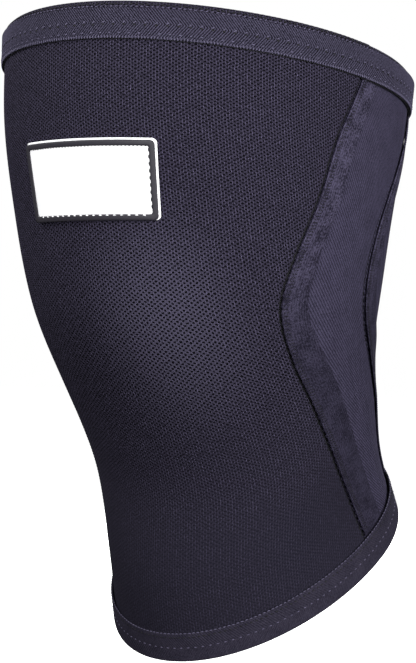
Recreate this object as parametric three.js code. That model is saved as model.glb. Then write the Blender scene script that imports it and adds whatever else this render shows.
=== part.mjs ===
import * as THREE from 'three';

// A knee sleeve of padded knit, in the shape that a slightly bent knee gives it.
// Millimetres. +Z runs up the leg, the kneecap faces -Y, and the origin is in the middle of the knee.
// Every piece lies on one skin, whose points are found from three numbers: the turn around the leg
// from the middle of the front, the share of the way up the sleeve, and the distance out from the skin.

// Sleeve
const sleeveLength = 208; // rim to rim, along the middle of the leg
const kneeHalfWidth = 66; // middle of the leg to the side of the knee
const kneeFrontDepth = 62; // middle of the leg to the front of the knee
const kneeBackDepth = 77; // middle of the leg to the hollow behind the knee
const wall = 5; // padded knit of the front panel, which is also the height of the skin over the leg
const panelStep = 0.6; // how far the side and back panels lie below the front panel
const panelEdge = 1.4; // rounding of a panel's edges
const rimEdge = 2; // rounding of the rolled rims

// Stance of the leg
const kneeAt = 0.47; // share of the sleeve's length below the knee's middle
const kneeBend = degrees(32.5); // calf from the line of the thigh
const bendRun = 33; // length over which the bend builds up
const thighLean = degrees(5.3); // thigh back from upright
const topRimTilt = degrees(4.1); // front of the top rim up
const bottomRimTilt = degrees(4.3); // front of the bottom rim down
const rimTiltReach = 83; // how far from a rim its tilt is felt

// Hem tapes and seam strips
const hemTapeWidth = 11.4;
const hemTapeThickness = 0.9;
const topRoll = 2.9; // panel left bare between the top rim and its tape
const bottomRoll = 0.6; // the same at the bottom rim
const stripWidth = 14.5; // at its widest, below the knee
const stripThickness = 0.7;
const pieceGap = 0.3; // kept wherever two pieces meet
const thinEdge = 0.25; // rounding of tape, strip and label edges

// Label patch, with a frame raised round its border
const labelWidth = 60;
const labelHeight = 30.5;
const labelThickness = 0.9;
const labelCorner = 1.8;
const labelTurn = degrees(2.5);
const labelAt = 0.724;
const frameWidth = 2.2;
const frameThickness = 0.4;
const frameMargin = 0.7; // patch left bare outside the frame, along its top and right sides

// Fineness of the facets
const rowsUp = 20;
const ringColumns = 54;
const frameSpans = [10, 2, 5, 2]; // along a wide side, a corner, a short side and the next corner

// Sections from the bottom rim to the top one. Side, front and back are shares of kneeHalfWidth,
// kneeFrontDepth and kneeBackDepth, and at is a share of sleeveLength.
const sections = [
  { at: 0.0, side: 0.87, front: 1.18, back: 0.74 },
  { at: 0.12, side: 0.83, front: 1.04, back: 0.81 },
  { at: 0.26, side: 0.875, front: 0.79, back: 0.92 },
  { at: 0.34, side: 0.91, front: 0.775, back: 0.97 },
  { at: 0.42, side: 0.96, front: 0.84, back: 1.01 },
  { at: 0.55, side: 1.05, front: 1.06, back: 1.005 },
  { at: 0.68, side: 1.12, front: 1.2, back: 1.0 },
  { at: 0.84, side: 1.18, front: 1.34, back: 1.035 },
  { at: 1.0, side: 1.185, front: 1.39, back: 1.1 },
];

// Seams of one side. Front and rear are degrees of turn from the middle of the front, and strip is
// a share of stripWidth.
const seams = [
  { at: 0.0, front: 88.5, rear: 134, strip: 1.0 },
  { at: 0.14, front: 86.5, rear: 130, strip: 0.99 },
  { at: 0.26, front: 79, rear: 123, strip: 0.99 },
  { at: 0.36, front: 71.8, rear: 114.5, strip: 1.0 },
  { at: 0.45, front: 64, rear: 106.5, strip: 0.95 },
  { at: 0.53, front: 61, rear: 101.5, strip: 0.78 },
  { at: 0.61, front: 66, rear: 101, strip: 0.71 },
  { at: 0.7, front: 72.2, rear: 104.7, strip: 0.7 },
  { at: 0.82, front: 77.3, rear: 115, strip: 0.69 },
  { at: 0.93, front: 84.7, rear: 128, strip: 0.65 },
  { at: 1.0, front: 89, rear: 134, strip: 0.64 },
];

function degrees(angle) {
  return THREE.MathUtils.degToRad(angle);
}

// A smooth curve through one column of a table
function follow(table, column) {
  const curve = new THREE.CubicInterpolant(
    table.map((row) => row.at),
    table.map((row) => row[column]),
    1,
  );
  return (at) => curve.evaluate(at)[0];
}

const sideShare = follow(sections, 'side');
const frontShare = follow(sections, 'front');
const backShare = follow(sections, 'back');
const frontSeamDegrees = follow(seams, 'front');
const rearSeamDegrees = follow(seams, 'rear');
const stripShare = follow(seams, 'strip');

// Angle of the leg's middle line from upright, positive where it leans back on its way up
function legSlope(at) {
  const fromKnee = ((at - kneeAt) * sleeveLength) / bendRun;
  const belowKnee = 0.5 * (1 - Math.tanh(fromKnee));
  return thighLean - kneeBend * belowKnee;
}

// A point of the leg's middle line, from the knee along short steps of its slope
function legMiddle(at) {
  const steps = 24;
  const step = (at - kneeAt) / steps;
  const middle = new THREE.Vector3();
  for (let i = 0; i < steps; i += 1) {
    const slope = legSlope(kneeAt + (i + 0.5) * step);
    middle.y += Math.sin(slope) * step * sleeveLength;
    middle.z += Math.cos(slope) * step * sleeveLength;
  }
  return middle;
}

// How much a section leans out of square with the leg, near a tilted rim
function sectionTilt(at) {
  const reach = rimTiltReach / sleeveLength;
  const nearTop = Math.max(0, 1 - (1 - at) / reach);
  const nearBottom = Math.max(0, 1 - at / reach);
  return nearTop ** 2 * Math.tan(topRimTilt) - nearBottom ** 2 * Math.tan(bottomRimTilt);
}

function skinPoint(turn, at) {
  const depth = Math.cos(turn) > 0 ? kneeFrontDepth * frontShare(at) : kneeBackDepth * backShare(at);
  const across = kneeHalfWidth * sideShare(at) * Math.sin(turn);
  const forward = depth * Math.cos(turn);
  const up = forward * sectionTilt(at);
  const slope = legSlope(at);
  const point = new THREE.Vector3(
    across,
    -forward * Math.cos(slope) + up * Math.sin(slope),
    forward * Math.sin(slope) + up * Math.cos(slope),
  );
  return point.add(legMiddle(at));
}

// The skin's travel for a radian of turn, and for the whole sleeve upwards
function turnTravel(turn, at) {
  const step = 0.004;
  return skinPoint(turn + step, at).sub(skinPoint(turn - step, at)).divideScalar(2 * step);
}

function upTravel(turn, at) {
  const low = Math.max(0, at - 0.004);
  const high = Math.min(1, at + 0.004);
  return skinPoint(turn, high).sub(skinPoint(turn, low)).divideScalar(high - low);
}

function offSkin(turn, at, out) {
  const normal = turnTravel(turn, at).cross(upTravel(turn, at)).normalize();
  return skinPoint(turn, at).addScaledVector(normal, out);
}

// A closed body between an outer and an inner face of one grid. Columns follow the turn and rows go up.
function gridBody(columns, rows, closedRing, facePoint) {
  const corners = [];
  const triangles = [];
  for (const face of ['outer', 'inner']) {
    for (let row = 0; row < rows; row += 1) {
      for (let column = 0; column < columns; column += 1) {
        corners.push(...facePoint(column, row, face).toArray());
      }
    }
  }
  const outer = (column, row) => row * columns + (column % columns);
  const inner = (column, row) => columns * rows + outer(column, row);
  const quad = (a, b, c, d) => triangles.push(a, b, c, a, c, d);
  const spans = closedRing ? columns : columns - 1;
  const top = rows - 1;
  for (let i = 0; i < spans; i += 1) {
    for (let j = 0; j < top; j += 1) {
      quad(outer(i, j), outer(i + 1, j), outer(i + 1, j + 1), outer(i, j + 1));
      quad(inner(i, j), inner(i, j + 1), inner(i + 1, j + 1), inner(i + 1, j));
    }
    quad(outer(i, 0), inner(i, 0), inner(i + 1, 0), outer(i + 1, 0));
    quad(outer(i, top), outer(i + 1, top), inner(i + 1, top), inner(i, top));
  }
  for (let j = 0; j < top && !closedRing; j += 1) {
    quad(outer(0, j), outer(0, j + 1), inner(0, j + 1), inner(0, j));
    quad(outer(spans, j), inner(spans, j), inner(spans, j + 1), outer(spans, j + 1));
  }
  const geometry = new THREE.BufferGeometry();
  geometry.setAttribute('position', new THREE.Float32BufferAttribute(corners, 3));
  geometry.setIndex(triangles);
  geometry.computeVertexNormals();
  return geometry;
}

// Stations across a piece: some close to each edge, where it is rounded, and even ones between.
// Inset is a length from the nearer edge. A thin edge is one bevel, and a thick one has two.
function stations(spans, rounding, gap) {
  const edgeShares = rounding > thinEdge ? [0, 0.3, 1] : [0, 1];
  const near = edgeShares.map((share) => ({
    along: 0,
    inset: gap + share * rounding,
    fromEdge: share * rounding,
  }));
  const far = near.map((station) => ({ ...station, along: 1, inset: -station.inset })).reverse();
  const between = Array.from({ length: spans - 1 }, (_, i) => ({
    along: (i + 1) / spans,
    inset: 0,
    fromEdge: rounding,
  }));
  return [...near, ...between, ...far];
}

// How far a rounded edge has fallen away from the face
function edgeFall(fromEdge, rounding) {
  const inward = rounding - Math.min(fromEdge, rounding);
  return rounding - Math.sqrt(rounding ** 2 - inward ** 2);
}

// A piece of the sleeve between two seams and two levels, given in turn and share of the length
function skinPiece({ left, right, bottom, top, outside, inside, across, up, sideRounding, endRounding, sideGap }) {
  const columns = stations(across, sideRounding, sideGap);
  const rows = stations(up, endRounding, 0);
  return gridBody(columns.length, rows.length, false, (i, j, face) => {
    const middleTurn = (left(0.5) + right(0.5)) / 2;
    const level = THREE.MathUtils.lerp(bottom(middleTurn), top(middleTurn), rows[j].along);
    const turn =
      THREE.MathUtils.lerp(left(level), right(level), columns[i].along) +
      columns[i].inset / turnTravel(middleTurn, level).length();
    const at =
      THREE.MathUtils.lerp(bottom(turn), top(turn), rows[j].along) +
      rows[j].inset / upTravel(turn, level).length();
    const fall = Math.max(
      edgeFall(columns[i].fromEdge, sideRounding),
      edgeFall(rows[j].fromEdge, endRounding),
    );
    return offSkin(turn, at, face === 'outer' ? outside - fall : inside + fall);
  });
}

const toRadians = (seamDegrees, side) => (at) => degrees(side * seamDegrees(at));
const bottomRim = () => 0;
const topRim = () => 1;

// Levels of the hem tapes' edges, at a constant distance from the rims all the way round
const belowTop = (turn, distance) => 1 - distance / upTravel(turn, 1).length();
const aboveBottom = (turn, distance) => distance / upTravel(turn, 0).length();

function panel(left, right, outside, across) {
  return skinPiece({
    left,
    right,
    bottom: bottomRim,
    top: topRim,
    outside,
    inside: -wall,
    across,
    up: rowsUp,
    sideRounding: panelEdge,
    endRounding: rimEdge,
    sideGap: pieceGap / 2,
  });
}

function frontPanel() {
  return panel(toRadians(frontSeamDegrees, -1), toRadians(frontSeamDegrees, 1), 0, 20);
}

function sidePanel(side) {
  const frontEdge = toRadians(frontSeamDegrees, side);
  const rearEdge = toRadians(rearSeamDegrees, side);
  const [left, right] = side > 0 ? [frontEdge, rearEdge] : [rearEdge, frontEdge];
  return panel(left, right, -panelStep, 4);
}

function backPanel() {
  const rearEdge = toRadians(rearSeamDegrees, 1);
  return panel(rearEdge, (at) => 2 * Math.PI - rearEdge(at), -panelStep, 13);
}

// A strip covers the panel just behind a seam, and stops short of the hem tapes
function seamStrip(seamDegrees, side) {
  const seam = toRadians(seamDegrees, side);
  const free = (at) => seam(at) + (side * stripWidth * stripShare(at)) / turnTravel(seam(at), at).length();
  const [left, right] = side > 0 ? [seam, free] : [free, seam];
  const inside = -panelStep + pieceGap;
  return skinPiece({
    left,
    right,
    bottom: (turn) => bottomTapeLevel(turn, hemTapeWidth + pieceGap),
    top: (turn) => topTapeLevel(turn, -pieceGap),
    outside: inside + stripThickness,
    inside,
    across: 2,
    up: rowsUp,
    sideRounding: thinEdge,
    endRounding: thinEdge,
    sideGap: pieceGap,
  });
}

// A tape runs round the whole sleeve near a rim. Level turns a height over its lower edge into a share.
function hemTape(level) {
  const rows = stations(1, thinEdge, 0);
  return gridBody(ringColumns, rows.length, true, (i, j, face) => {
    const turn = (i / ringColumns) * 2 * Math.PI;
    const height = rows[j].along * hemTapeWidth + rows[j].inset;
    const fall = edgeFall(rows[j].fromEdge, thinEdge);
    const out = face === 'outer' ? pieceGap + hemTapeThickness - fall : pieceGap + fall;
    return offSkin(turn, level(turn, height), out);
  });
}

const topTapeLevel = (turn, height) => belowTop(turn, topRoll + hemTapeWidth - height);
const bottomTapeLevel = (turn, height) => aboveBottom(turn, bottomRoll + height);

// A place on the label, from its centre
function onLabel(x, y, out) {
  const turn = labelTurn + x / turnTravel(labelTurn, labelAt).length();
  const at = labelAt + y / upTravel(labelTurn, labelAt).length();
  return offSkin(turn, at, out);
}

function labelPatch() {
  const columns = stations(8, labelCorner, 0);
  const rows = stations(2, labelCorner, 0);
  return gridBody(columns.length, rows.length, false, (i, j, face) => {
    const narrowing = edgeFall(rows[j].fromEdge, labelCorner);
    const x = THREE.MathUtils.lerp(-0.5, 0.5, columns[i].along) * labelWidth + columns[i].inset;
    const y = THREE.MathUtils.lerp(-0.5, 0.5, rows[j].along) * labelHeight + rows[j].inset;
    const limit = labelWidth / 2 - narrowing;
    const out = pieceGap + (face === 'outer' ? labelThickness : 0);
    return onLabel(x * (limit / (labelWidth / 2)), y, out);
  });
}

// Points round a rectangle with round corners, anticlockwise as seen from outside
function roundedOutline(width, height, corner) {
  const outline = new THREE.Shape();
  const [right, top] = [width / 2, height / 2];
  outline.moveTo(-right + corner, -top);
  outline.lineTo(right - corner, -top);
  outline.absarc(right - corner, -top + corner, corner, -Math.PI / 2, 0);
  outline.lineTo(right, top - corner);
  outline.absarc(right - corner, top - corner, corner, 0, Math.PI / 2);
  outline.lineTo(-right + corner, top);
  outline.absarc(-right + corner, top - corner, corner, Math.PI / 2, Math.PI);
  outline.lineTo(-right, -top + corner);
  outline.absarc(-right + corner, -top + corner, corner, Math.PI, Math.PI * 1.5);
  return outline.curves.flatMap((curve, i) => curve.getPoints(frameSpans[i % 4]).slice(0, -1));
}

function labelFrame() {
  const [width, height] = [labelWidth - frameMargin, labelHeight - frameMargin];
  const edges = [
    roundedOutline(width, height, labelCorner),
    roundedOutline(width - 2 * frameWidth, height - 2 * frameWidth, labelCorner / 2),
  ];
  const seat = 2 * pieceGap + labelThickness;
  return gridBody(edges[0].length, edges.length, true, (i, j, face) => {
    const { x, y } = edges[j][i];
    const out = face === 'outer' ? seat + frameThickness : seat;
    return onLabel(x - frameMargin / 2, y - frameMargin / 2, out);
  });
}

const materials = {
  meshKnit: { color: '#3a3845', roughness: 0.95, metalness: 0 },
  sideKnit: { color: '#3b3a47', roughness: 0.92, metalness: 0 },
  suedeStrip: { color: '#393744', roughness: 1, metalness: 0 },
  hemTwill: { color: '#3f3d4a', roughness: 0.9, metalness: 0 },
  labelWhite: { color: '#f2f2f4', roughness: 0.55, metalness: 0 },
  labelBlack: { color: '#3c3b42', roughness: 0.5, metalness: 0 },
};

function piece(name, geometry, look) {
  const mesh = new THREE.Mesh(geometry, new THREE.MeshStandardMaterial(materials[look]));
  mesh.name = name;
  return mesh;
}

const sleeve = new THREE.Group();
sleeve.add(
  piece('front_panel', frontPanel(), 'meshKnit'),
  piece('side_panel_right', sidePanel(1), 'sideKnit'),
  piece('side_panel_left', sidePanel(-1), 'sideKnit'),
  piece('back_panel', backPanel(), 'sideKnit'),
  piece('front_strip_right', seamStrip(frontSeamDegrees, 1), 'suedeStrip'),
  piece('front_strip_left', seamStrip(frontSeamDegrees, -1), 'suedeStrip'),
  piece('rear_strip_right', seamStrip(rearSeamDegrees, 1), 'suedeStrip'),
  piece('rear_strip_left', seamStrip(rearSeamDegrees, -1), 'suedeStrip'),
  piece('top_hem_tape', hemTape(topTapeLevel), 'hemTwill'),
  piece('bottom_hem_tape', hemTape(bottomTapeLevel), 'hemTwill'),
  piece('label_patch', labelPatch(), 'labelWhite'),
  piece('label_frame', labelFrame(), 'labelBlack'),
);

export default sleeve;
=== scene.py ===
import math

import bmesh
import bpy
import numpy as np
from mathutils import Matrix, Vector


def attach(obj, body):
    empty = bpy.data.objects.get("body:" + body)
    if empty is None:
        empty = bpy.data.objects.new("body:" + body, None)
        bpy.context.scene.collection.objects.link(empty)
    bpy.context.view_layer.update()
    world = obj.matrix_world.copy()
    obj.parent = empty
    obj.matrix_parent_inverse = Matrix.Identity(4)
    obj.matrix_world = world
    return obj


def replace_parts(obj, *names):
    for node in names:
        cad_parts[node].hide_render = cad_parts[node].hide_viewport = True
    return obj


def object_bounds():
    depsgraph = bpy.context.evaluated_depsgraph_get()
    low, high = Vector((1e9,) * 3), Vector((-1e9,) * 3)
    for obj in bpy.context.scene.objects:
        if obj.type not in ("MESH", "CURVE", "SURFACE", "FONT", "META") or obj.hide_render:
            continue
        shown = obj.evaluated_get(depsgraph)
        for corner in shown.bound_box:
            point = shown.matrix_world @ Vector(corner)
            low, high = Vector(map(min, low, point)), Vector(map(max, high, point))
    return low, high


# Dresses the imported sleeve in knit, tape, label and stitches, then sets the photo's camera and light
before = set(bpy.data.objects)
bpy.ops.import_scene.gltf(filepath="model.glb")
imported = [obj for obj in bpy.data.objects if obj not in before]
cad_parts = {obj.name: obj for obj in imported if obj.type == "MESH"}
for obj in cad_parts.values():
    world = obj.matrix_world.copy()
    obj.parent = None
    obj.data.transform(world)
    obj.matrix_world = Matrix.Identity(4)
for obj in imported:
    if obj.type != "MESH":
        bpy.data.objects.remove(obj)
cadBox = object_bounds()
mm = 0.001
backThinning = 4  # plain backs keep one grid line in four
print("frame loaded")

# The leg's shape, as the sleeve is worn. A point on it comes from a turn round the leg, from the middle
# of the front, a share of the way up the sleeve, and a height over the skin of the front panel.
leg = {
    "sleeveLength": 208 * mm,
    "kneeHalfWidth": 66 * mm,
    "kneeFrontDepth": 62 * mm,
    "kneeBackDepth": 77 * mm,
    "kneeAt": 0.47,
    "kneeBend": math.radians(32.5),
    "bendRun": 33 * mm,
    "thighLean": math.radians(5.3),
    "topRimTilt": math.radians(4.1),
    "bottomRimTilt": math.radians(4.3),
    "rimTiltReach": 83 * mm,
    "wall": 5 * mm,
    "panelStep": 0.6 * mm,  # side and back panels lie this much lower than the front one
}
sections = [  # from the bottom rim up: shares of kneeHalfWidth, kneeFrontDepth and kneeBackDepth
    {"at": 0.0, "side": 0.87, "front": 1.18, "back": 0.74},
    {"at": 0.12, "side": 0.83, "front": 1.04, "back": 0.81},
    {"at": 0.26, "side": 0.875, "front": 0.79, "back": 0.92},
    {"at": 0.34, "side": 0.91, "front": 0.775, "back": 0.97},
    {"at": 0.42, "side": 0.96, "front": 0.84, "back": 1.01},
    {"at": 0.55, "side": 1.05, "front": 1.06, "back": 1.005},
    {"at": 0.68, "side": 1.12, "front": 1.2, "back": 1.0},
    {"at": 0.84, "side": 1.18, "front": 1.34, "back": 1.035},
    {"at": 1.0, "side": 1.185, "front": 1.39, "back": 1.1},
]
seams = [  # front and rear seam in degrees of turn, and the strip's share of its full width
    {"at": 0.0, "front": 88.5, "rear": 134, "strip": 1.0},
    {"at": 0.14, "front": 86.5, "rear": 130, "strip": 0.99},
    {"at": 0.26, "front": 79, "rear": 123, "strip": 0.99},
    {"at": 0.36, "front": 71.8, "rear": 114.5, "strip": 1.0},
    {"at": 0.45, "front": 64, "rear": 106.5, "strip": 0.95},
    {"at": 0.53, "front": 61, "rear": 101.5, "strip": 0.78},
    {"at": 0.61, "front": 66, "rear": 101, "strip": 0.71},
    {"at": 0.7, "front": 72.2, "rear": 104.7, "strip": 0.7},
    {"at": 0.82, "front": 77.3, "rear": 115, "strip": 0.69},
    {"at": 0.93, "front": 84.7, "rear": 128, "strip": 0.65},
    {"at": 1.0, "front": 89, "rear": 134, "strip": 0.64},
]


def follow(table, column):  # a smooth curve through one column of a table
    at = np.array([row["at"] for row in table])
    value = np.array([float(row[column]) for row in table])
    secant = np.diff(value) / np.diff(at)
    slope = np.concatenate([secant[:1], (secant[:-1] + secant[1:]) / 2, secant[-1:]])

    def curve(share):
        i = np.clip(np.searchsorted(at, share, side="right") - 1, 0, len(secant) - 1)
        run = at[i + 1] - at[i]
        p = (share - at[i]) / run
        start = (1 + 2 * p) * (1 - p) ** 2 * value[i] + p * (1 - p) ** 2 * slope[i] * run
        end = p * p * (3 - 2 * p) * value[i + 1] + p * p * (p - 1) * slope[i + 1] * run
        return start + end

    return curve


sideShare, frontShare, backShare = (follow(sections, name) for name in ("side", "front", "back"))
frontDegrees, rearDegrees, stripShare = (follow(seams, name) for name in ("front", "rear", "strip"))


def frontSeam(share):
    return np.radians(frontDegrees(share))


def rearSeam(share):
    return np.radians(rearDegrees(share))


seamSides = [
    (end, word, seam, side)
    for end, seam in (("front", frontSeam), ("rear", rearSeam))
    for word, side in (("right", 1), ("left", -1))
]


def legSlope(share):
    fromKnee = (share - leg["kneeAt"]) * leg["sleeveLength"] / leg["bendRun"]
    return leg["thighLean"] - leg["kneeBend"] * 0.5 * (1 - np.tanh(fromKnee))


def middleLine(share):  # from the knee, along short steps of the slope
    steps = 24
    step = (share - leg["kneeAt"]) / steps
    slopes = [legSlope(leg["kneeAt"] + (i + 0.5) * step) for i in range(steps)]
    run = step * leg["sleeveLength"]
    return sum(np.sin(s) for s in slopes) * run, sum(np.cos(s) for s in slopes) * run


levelTable = np.linspace(-0.01, 1.01, 1021)  # a little past both rims
middleY, middleZ = middleLine(levelTable)
travelStep = 0.004  # radians of turn, or share of the way up, to each side


def sectionTilt(share):
    reach = leg["rimTiltReach"] / leg["sleeveLength"]
    nearTop = np.maximum(0, 1 - (1 - share) / reach)
    nearBottom = np.maximum(0, 1 - share / reach)
    return nearTop**2 * math.tan(leg["topRimTilt"]) - nearBottom**2 * math.tan(leg["bottomRimTilt"])


def skinPoint(turn, share):
    turn, share = np.broadcast_arrays(np.asarray(turn, float), np.asarray(share, float))
    frontDepth = leg["kneeFrontDepth"] * frontShare(share)
    backDepth = leg["kneeBackDepth"] * backShare(share)
    across = leg["kneeHalfWidth"] * sideShare(share) * np.sin(turn)
    forward = np.where(np.cos(turn) > 0, frontDepth, backDepth) * np.cos(turn)
    up = forward * sectionTilt(share)
    slope = legSlope(share)
    y = -forward * np.cos(slope) + up * np.sin(slope) + np.interp(share, levelTable, middleY)
    z = forward * np.sin(slope) + up * np.cos(slope) + np.interp(share, levelTable, middleZ)
    return np.stack([across, y, z], -1)


def turnTravel(turn, share):
    return (skinPoint(turn + travelStep, share) - skinPoint(turn - travelStep, share)) / (2 * travelStep)


def upTravel(turn, share):
    low, high = np.maximum(0, share - travelStep), np.minimum(1, share + travelStep)
    return (skinPoint(turn, high) - skinPoint(turn, low)) / (high - low)[..., None]


def skinFrame(turn, share):  # the point, and its directions across, up and out
    turn, share = np.broadcast_arrays(np.asarray(turn, float), np.asarray(share, float))
    across, up = turnTravel(turn, share), upTravel(turn, share)
    directions = (across, up, np.cross(across, up))
    return [skinPoint(turn, share)] + [v / np.linalg.norm(v, axis=-1, keepdims=True) for v in directions]


def offSkin(turn, share, out):
    point, _, _, normal = skinFrame(turn, share)
    return point + normal * np.asarray(out)[..., None]


def upLength(turn, share):
    return np.linalg.norm(upTravel(turn, np.asarray(share, float)), axis=-1)


# Distance round the leg from the middle of the front, tabled once
turnTable = np.linspace(-0.2, 2 * np.pi + 0.2, 481)
arcLevels = np.linspace(0, 1, 209)
arcTable = np.array([
    np.concatenate([[0], np.cumsum(np.linalg.norm(np.diff(skinPoint(turnTable, level), axis=0), axis=1))])
    for level in arcLevels
])
arcTable -= np.array([np.interp(0.0, turnTable, row) for row in arcTable])[:, None]


def arcRow(level):
    spot = np.clip(level, 0, 1) * (len(arcLevels) - 1)
    low = min(int(spot), len(arcLevels) - 2)
    return arcTable[low] * (low + 1 - spot) + arcTable[low + 1] * (spot - low)


def arcTo(turn, level):  # signed, so a left side mirrors a right one
    return np.sign(turn) * np.interp(abs(turn), turnTable, arcRow(level))


def turnTo(arc, level):
    return np.sign(arc) * np.interp(np.abs(arc), arcRow(level), turnTable)


# Flat cloth: whole numbers count its columns and rows, and z is 1 on its face and 0 on its back.
# A ring has no end faces, so that it closes. Thinning drops most lines of the plain back.
def flatCloth(columns, rows, thinning=1, ring=False):
    bm = bmesh.new()
    place = Matrix.Translation((columns / 2, rows / 2, 1)) @ Matrix.Diagonal((columns / 2, rows / 2, 1, 1))
    bmesh.ops.create_grid(bm, x_segments=columns, y_segments=rows, size=1, matrix=place)
    bmesh.ops.solidify(bm, geom=bm.faces[:], thickness=1)
    lowest = min(v.co.z for v in bm.verts)
    bmesh.ops.translate(bm, verts=bm.verts[:], vec=(0, 0, -lowest))
    for v in bm.verts:
        v.co = [round(c) for c in v.co]
    bmesh.ops.recalc_face_normals(bm, faces=bm.faces[:])
    for face in bm.faces:
        face.smooth = True
        face.material_index = 1 if all(v.co.z < 0.5 for v in face.verts) else 0
    if ring:
        ends = [f for f in bm.faces if abs(f.normal.x) > 0.5]
        bmesh.ops.delete(bm, geom=ends, context="FACES")
    if thinning > 1:
        def spare(edge):
            a, b = (v.co for v in edge.verts)
            onBack = a.z + b.z < 0.5 and all(f.material_index == 1 for f in edge.link_faces)
            if not onBack or len(edge.link_faces) != 2:
                return False
            line = a.x if abs(a.x - b.x) < 0.5 else a.y
            return round(line) % thinning != 0
        bmesh.ops.dissolve_edges(bm, edges=[e for e in bm.edges if spare(e)], use_verts=True)
    return bm


def wrapped(name, bm, place, looks):  # moves flat cloth to its place, with its own flat measure as UV in mm
    mesh = bpy.data.meshes.new(name)
    bm.to_mesh(mesh)
    bm.free()
    flat = np.zeros(len(mesh.vertices) * 3)
    mesh.vertices.foreach_get("co", flat)
    spots, flatMm = place(flat.reshape(-1, 3))
    mesh.vertices.foreach_set("co", spots.ravel())
    corners = np.zeros(len(mesh.loops), int)
    mesh.loops.foreach_get("vertex_index", corners)
    mesh.uv_layers.new(name="cloth").data.foreach_set("uv", flatMm[corners].ravel())
    bm = bmesh.new()
    bm.from_mesh(mesh)
    bmesh.ops.remove_doubles(bm, verts=bm.verts[:], dist=0.001 * mm)
    bm.to_mesh(mesh)
    bm.free()
    return finished(name, mesh, looks)


def finished(name, mesh, looks):
    for look in looks:
        mesh.materials.append(look)
    piece = bpy.data.objects.new(name, mesh)
    bpy.context.scene.collection.objects.link(piece)
    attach(piece, "root")
    print(name, len(mesh.vertices), "points", sum(len(p.vertices) - 2 for p in mesh.polygons), "triangles")
    return piece


def declareSheet(piece):  # reads the cloth's flat measure from its UV map, and each corner's next corner round its face; nothing is kept
    mesh = piece.data
    flat = np.zeros(len(mesh.loops) * 2)
    mesh.uv_layers["cloth"].data.foreach_get("uv", flat)
    flat = flat.reshape(-1, 2) * mm
    starts = np.array([p.loop_start for p in mesh.polygons])
    counts = np.array([p.loop_total for p in mesh.polygons])
    ahead = np.arange(len(flat)) + 1
    ahead[starts + counts - 1] = starts


def roll(steps, count, radius):  # inset from the edge and fall from the face, round a quarter circle
    angle = np.clip(steps / count, 0, 1) * math.pi / 2
    return radius * (1 - np.cos(angle)), radius * (1 - np.sin(angle)), radius * angle


def linear(hexColour):
    parts = [int(hexColour[i:i + 2], 16) / 255 for i in (1, 3, 5)]
    return [p / 12.92 if p <= 0.04045 else ((p + 0.055) / 1.055) ** 2.4 for p in parts] + [1.0]


# A node's inputs are listed in order or named. Each is a value, a socket, or a node, whose first output
# that is in use is taken. A Mix node's colours are its inputs 6 and 7.
def setInputs(tree, node, inputs):
    named = inputs if isinstance(inputs, dict) else dict(enumerate(inputs))
    for socket, value in named.items():
        if isinstance(value, bpy.types.Node):
            value = next(output for output in value.outputs if output.enabled)
        if isinstance(value, bpy.types.NodeSocket):
            tree.links.new(value, node.inputs[socket])
        else:
            node.inputs[socket].default_value = value


def addNode(tree, kind, inputs=(), **settings):
    node = tree.nodes.new("ShaderNode" + kind)
    for name, value in settings.items():
        setattr(node, name, value)
    setInputs(tree, node, inputs)
    return node


softEnds = {"interpolation_type": "SMOOTHSTEP"}  # for a Map Range node, so that a shade starts gently


def newMaterial(name):
    material = bpy.data.materials.new(name)
    material.use_nodes = True
    tree = material.node_tree
    tree.nodes.clear()
    shader = addNode(tree, "BsdfPrincipled")
    addNode(tree, "OutputMaterial", [shader])
    return material, tree, shader


# What all the cloths share: hardly any gloss, and a faint violet sheen of loose fibres at grazing angles
fibres = {"gloss": 0.08, "sheenRoughness": 0.5, "sheenTint": "#8f8ab0"}


def clothShader(tree, shader, colour, height, look):
    relief = {"Height": height, "Strength": look["bump"], "Distance": look["relief"] * mm}
    setInputs(tree, shader, {
        "Base Color": colour,
        "Normal": addNode(tree, "Bump", relief),
        "Roughness": look["roughness"],
        "Specular IOR Level": fibres["gloss"],
        "Sheen Weight": look["sheen"],
        "Sheen Roughness": fibres["sheenRoughness"],
        "Sheen Tint": linear(fibres["sheenTint"]),
    })


# Warp-knit polyester mesh over foam: staggered holes that read nearly black between matt threads,
# with painted glints on some threads. A painted highlight makes it paler over the kneecap's bulge, and
# painted shade makes it darker near the bottom, where the knit lies loose and its holes close up.
meshKnit = {
    "columnPitch": 1.17,  # mm between neighbouring columns of holes
    "holePitch": 1.22,  # mm between holes in one column
    "holeRim": (0.02, 0.46),  # where the wave of the weave turns into a hole
    "crown": (0.6, 0.0),  # the upright threads between the columns of holes
    "wander": 0.6,  # mm that threads stray
    "wanderScale": 0.55,
    "fleckScale": 1.5,
    "fleck": (0.4, 0.68),
    "thread": "#272431",
    "glint": "#544f66",
    "hole": "#040308",
    # painted highlight: the paler thread colour where the kneecap's bulge is lit
    "kneecapHighlight": "#3f3c4c",
    # painted shade: the darker thread colour near the bottom
    "slackShade": "#1f1d28",
    "slackFrom": 90,  # mm up the cloth
    "slackTo": 25,
    "slackClosing": 0.6,  # how much of a hole's darkness goes
    "slackDepth": 0.3,  # how much of a hole's depth stays
    "kneecap": (27, 107, 42),  # the painted highlight's place on the cloth and its reach, in mm
    "holeDepth": 0.26 * mm,
    "bump": 0.7,
    "relief": 0.25,
    "roughness": 0.9,
    "sheen": 0.02,
}


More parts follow.
